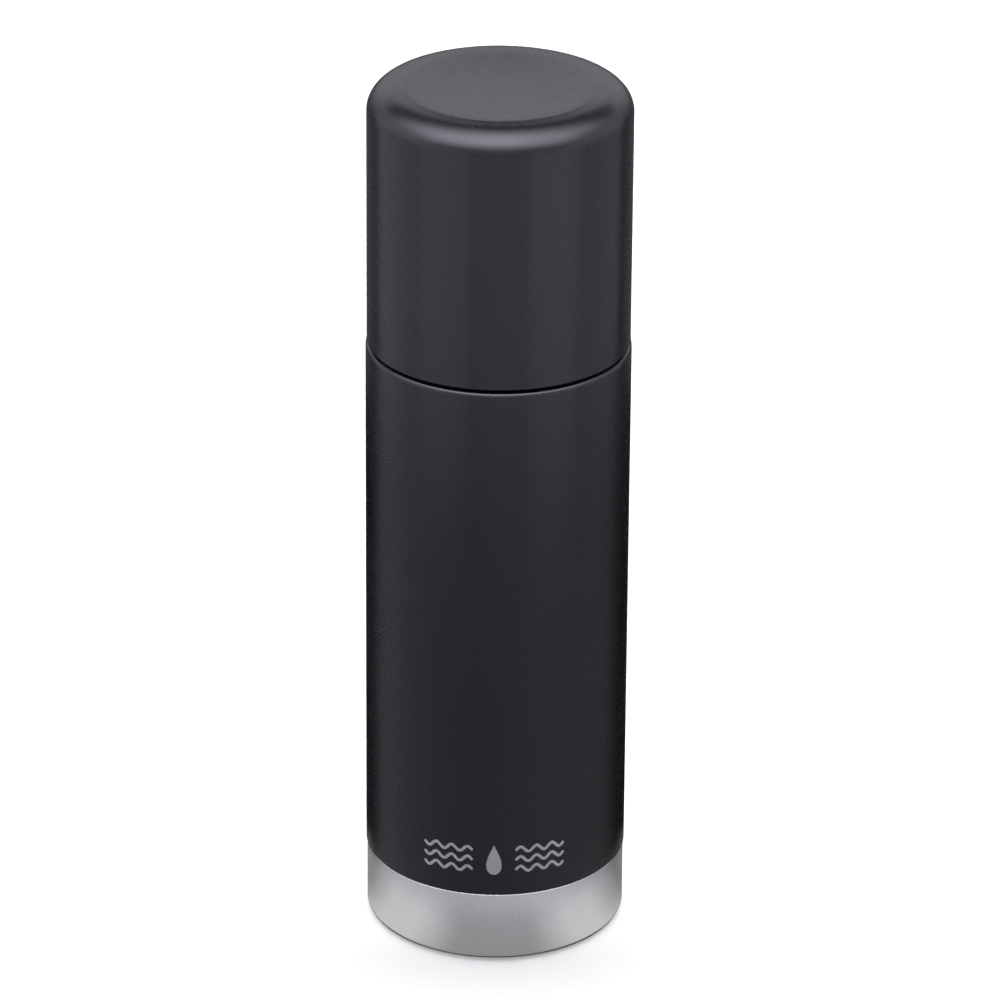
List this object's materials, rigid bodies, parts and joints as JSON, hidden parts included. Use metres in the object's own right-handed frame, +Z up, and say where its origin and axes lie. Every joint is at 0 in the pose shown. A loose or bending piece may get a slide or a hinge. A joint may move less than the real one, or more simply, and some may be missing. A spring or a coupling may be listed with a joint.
{
  "type": "insulated growler flask",
  "caption": "Slim double-wall insulated steel flask with a screw-on drinking cup over a push-button screw stopper; satin black coat and a bare brushed steel base.",
  "frame": {"origin": "centre of the ring that the flask stands on, on the turning axis", "axes": "+Z up along the turning axis, from the base to the cup's top; +X towards the pour window of the closed stopper"},
  "size_m": [0.072, 0.072, 0.2455],
  "materials": {
    "powder_coat": "satin black powder coat on stainless steel",
    "bare_steel": "stainless steel brushed round the axis",
    "inner_steel": "electropolished stainless steel",
    "foil": "bright foil",
    "getter": "pressed getter metal powder",
    "black_plastic": "fine matt polypropylene",
    "grey_plastic": "satin polypropylene",
    "silicone": "food-grade silicone",
    "dark_silicone": "matt black silicone",
    "solder": "dull brazing alloy"
  },
  "bodies": {
    "flask": {"outer_shell": "powder_coat", "base_cup": "bare_steel", "base_cover": "bare_steel", "vacuum_seal_bead": "solder", "getter_clip": "inner_steel", "getter_pellet": "getter", "inner_vessel": "inner_steel", "inner_base": "inner_steel", "radiation_foil": "foil"},
    "stopper_gasket": {"stopper_seal": "silicone"},
    "stopper": {"stopper_body": "grey_plastic", "stopper_cap": "black_plastic", "stem_guide": "grey_plastic", "stem_seal": "silicone", "button_spring": "bare_steel"},
    "valve": {"push_button": "black_plastic", "valve_stem": "grey_plastic", "valve_plate": "grey_plastic", "valve_seal": "silicone"},
    "cup_ring": {"cup_seal": "dark_silicone"},
    "cup": {"cup_shell": "powder_coat", "cup_liner": "inner_steel", "cup_collar": "black_plastic"}
  },
  "joints": [
    {"name": "cup_lift", "type": "slide", "parent": "flask", "child": "cup_ring", "axis": [0, 0, 1], "range_m": [0, 0.0401]},
    {"name": "cup_turn", "type": "hinge", "parent": "cup_ring", "child": "cup", "pos_m": [0, 0, 0.18], "axis": [0, 0, 1], "range_deg": [0, 1200]},
    {"name": "stopper_lift", "type": "slide", "parent": "flask", "child": "stopper_gasket", "axis": [0, 0, 1], "range_m": [0, 0.0261]},
    {"name": "stopper_turn", "type": "hinge", "parent": "stopper_gasket", "child": "stopper", "pos_m": [0, 0, 0.18], "axis": [0, 0, 1], "range_deg": [0, 936]},
    {"name": "button_press", "type": "slide", "parent": "stopper", "child": "valve", "axis": [0, 0, -1], "range_m": [0, 0.0032], "stiffness_N_per_m": 300, "springref_m": -0.01, "deforming": ["button_spring"]}
  ],
  "couplings": [
    {"joint": "cup_lift", "follows": "cup_turn", "m_per_rad": 0.0019099},
    {"joint": "stopper_lift", "follows": "stopper_turn", "m_per_rad": 0.0015915}
  ]
}
